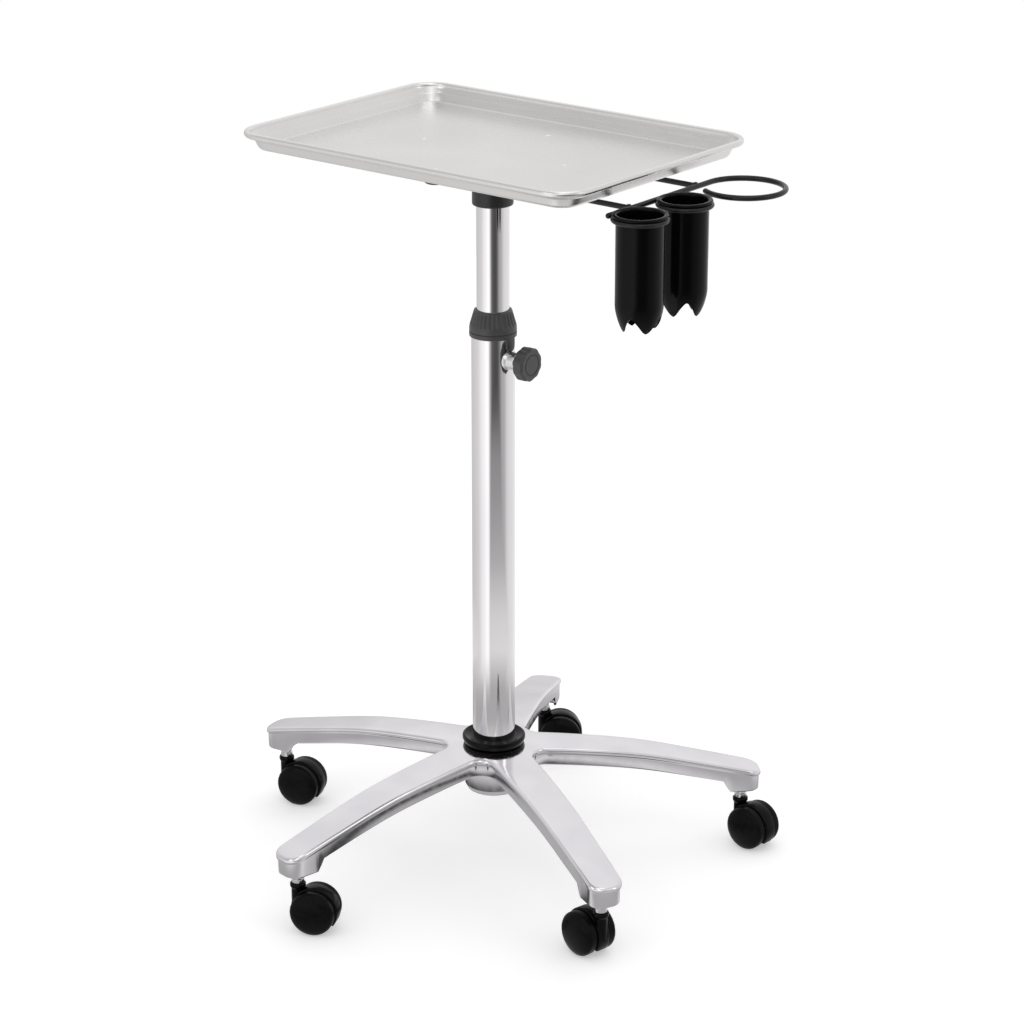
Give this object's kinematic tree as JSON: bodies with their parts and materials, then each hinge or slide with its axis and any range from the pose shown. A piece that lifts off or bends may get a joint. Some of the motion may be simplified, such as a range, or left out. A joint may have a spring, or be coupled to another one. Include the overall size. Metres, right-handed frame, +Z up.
{
  "type": "rolling tray cart",
  "caption": "Rolling tray cart: shallow metal tray on a telescoping chrome column over a five-star caster base, with a clamp knob and a wire tool holder with two cups and an open ring.",
  "frame": {"origin": "on the floor, on the column's axis", "axes": "+Z is up along the column. +X runs along the tray's long side toward the tool holder and the clamp knob. +Y is toward the open ring."},
  "size_m": [0.6223, 0.6042, 0.846],
  "materials": {
    "cast_aluminium": "polished casting",
    "tray_sheet": "satin sheet",
    "chrome_tube": "bright chrome",
    "bright_steel": "bright plated",
    "screw_steel": "plain zinc",
    "black_moulding": "satin moulded",
    "black_gloss": "gloss moulded",
    "black_wire": "gloss powder coat",
    "wheel_black": "satin moulded wheel",
    "bush_plastic": "plain moulded"
  },
  "bodies": {
    "base": {"star_base": "cast_aluminium", "base_ring": "black_gloss", "column_foot": "screw_steel", "foot_bolt": "screw_steel", "outer_tube": "chrome_tube", "guide_bush": "bush_plastic", "clamp_collar": "black_moulding", "clamp_boss": "bright_steel", "caster_stem_1": "bright_steel", "caster_stem_2": "bright_steel", "caster_stem_3": "bright_steel", "caster_stem_4": "bright_steel", "caster_stem_5": "bright_steel"},
    "glide": {"glide_bush": "bush_plastic"},
    "upper": {"upper_tube": "chrome_tube", "tray_bracket": "black_moulding", "socket_screw": "screw_steel", "tray": "tray_sheet", "tray_screws": "bright_steel", "holder_hook": "black_wire", "holder_rod_front": "black_wire", "holder_rod_rear": "black_wire", "rod_clamp_front": "black_wire", "rod_clamp_rear": "black_wire", "rod_clamp_screws_front": "screw_steel", "rod_clamp_screws_rear": "screw_steel", "cup_ring_front": "black_wire", "cup_ring_rear": "black_wire"},
    "front_cup": {"cup_front": "black_gloss"},
    "rear_cup": {"cup_rear": "black_gloss"},
    "pad": {"clamp_pad": "bush_plastic"},
    "knob": {"clamp_screw": "bright_steel", "clamp_knob": "black_moulding"},
    "hood_1": {"caster_hood_1": "black_gloss", "caster_axle_1": "screw_steel"},
    "left_1": {"wheel_left_1": "wheel_black"},
    "right_1": {"wheel_right_1": "wheel_black"},
    "hood_2": {"caster_hood_2": "black_gloss", "caster_axle_2": "screw_steel"},
    "left_2": {"wheel_left_2": "wheel_black"},
    "right_2": {"wheel_right_2": "wheel_black"},
    "hood_3": {"caster_hood_3": "black_gloss", "caster_axle_3": "screw_steel"},
    "left_3": {"wheel_left_3": "wheel_black"},
    "right_3": {"wheel_right_3": "wheel_black"},
    "hood_4": {"caster_hood_4": "black_gloss", "caster_axle_4": "screw_steel"},
    "left_4": {"wheel_left_4": "wheel_black"},
    "right_4": {"wheel_right_4": "wheel_black"},
    "hood_5": {"caster_hood_5": "black_gloss", "caster_axle_5": "screw_steel"},
    "left_5": {"wheel_left_5": "wheel_black"},
    "right_5": {"wheel_right_5": "wheel_black"}
  },
  "joints": [
    {"name": "height_slide", "type": "slide", "parent": "base", "child": "glide", "axis": [0, 0, 1], "range_m": [-0.105, 0.28]},
    {"name": "tray_swivel", "type": "hinge", "parent": "glide", "child": "upper", "pos_m": [0, 0, 0.27], "axis": [0, 0, 1], "continuous": true},
    {"name": "clamp_pad_slide", "type": "slide", "parent": "base", "child": "pad", "axis": [1, 0, 0], "range_m": [0, 0.00376]},
    {"name": "knob_turn", "type": "hinge", "parent": "pad", "child": "knob", "pos_m": [0.03, 0, 0.597], "axis": [1, 0, 0], "range_deg": [0, 1080]},
    {"name": "cup_front_lift", "type": "slide", "parent": "upper", "child": "front_cup", "axis": [0, 0, 1], "range_m": [0, 0.16]},
    {"name": "cup_rear_lift", "type": "slide", "parent": "upper", "child": "rear_cup", "axis": [0, 0, 1], "range_m": [0, 0.16]},
    {"name": "caster_swivel_1", "type": "hinge", "parent": "base", "child": "hood_1", "pos_m": [0.20575, 0.20009, 0.05], "axis": [0, 0, 1], "continuous": true},
    {"name": "wheel_spin_left_1", "type": "hinge", "parent": "hood_1", "child": "left_1", "pos_m": [0.22568, 0.19834, 0.025], "axis": [0.0872, 0.9962, 0], "continuous": true},
    {"name": "wheel_spin_right_1", "type": "hinge", "parent": "hood_1", "child": "right_1", "pos_m": [0.22568, 0.19834, 0.025], "axis": [0.0872, 0.9962, 0], "continuous": true},
    {"name": "caster_swivel_2", "type": "hinge", "parent": "base", "child": "hood_2", "pos_m": [-0.12671, 0.25751, 0.05], "axis": [0, 0, 1], "continuous": true},
    {"name": "wheel_spin_left_2", "type": "hinge", "parent": "hood_2", "child": "left_2", "pos_m": [-0.11095, 0.26983, 0.025], "axis": [-0.6157, 0.788, 0], "continuous": true},
    {"name": "wheel_spin_right_2", "type": "hinge", "parent": "hood_2", "child": "right_2", "pos_m": [-0.11095, 0.26983, 0.025], "axis": [-0.6157, 0.788, 0], "continuous": true},
    {"name": "caster_swivel_3", "type": "hinge", "parent": "base", "child": "hood_3", "pos_m": [-0.28407, -0.04093, 0.05], "axis": [0, 0, 1], "continuous": true},
    {"name": "wheel_spin_left_3", "type": "hinge", "parent": "hood_3", "child": "left_3", "pos_m": [-0.26494, -0.03509, 0.025], "axis": [-0.2924, 0.9563, 0], "continuous": true},
    {"name": "wheel_spin_right_3", "type": "hinge", "parent": "hood_3", "child": "right_3", "pos_m": [-0.26494, -0.03509, 0.025], "axis": [-0.2924, 0.9563, 0], "continuous": true},
    {"name": "caster_swivel_4", "type": "hinge", "parent": "base", "child": "hood_4", "pos_m": [-0.04885, -0.28281, 0.05], "axis": [0, 0, 1], "continuous": true},
    {"name": "wheel_spin_left_4", "type": "hinge", "parent": "hood_4", "child": "left_4", "pos_m": [-0.03044, -0.275, 0.025], "axis": [-0.3907, 0.9205, 0], "continuous": true},
    {"name": "wheel_spin_right_4", "type": "hinge", "parent": "hood_4", "child": "right_4", "pos_m": [-0.03044, -0.275, 0.025], "axis": [-0.3907, 0.9205, 0], "continuous": true},
    {"name": "caster_swivel_5", "type": "hinge", "parent": "base", "child": "hood_5", "pos_m": [0.25388, -0.13385, 0.05], "axis": [0, 0, 1], "continuous": true},
    {"name": "wheel_spin_left_5", "type": "hinge", "parent": "hood_5", "child": "left_5", "pos_m": [0.23431, -0.1297, 0.025], "axis": [-0.2079, -0.9781, 0], "continuous": true},
    {"name": "wheel_spin_right_5", "type": "hinge", "parent": "hood_5", "child": "right_5", "pos_m": [0.23431, -0.1297, 0.025], "axis": [-0.2079, -0.9781, 0], "continuous": true}
  ],
  "couplings": [
    {"joint": "clamp_pad_slide", "follows": "knob_turn", "m_per_rad": 0.00019894}
  ]
}
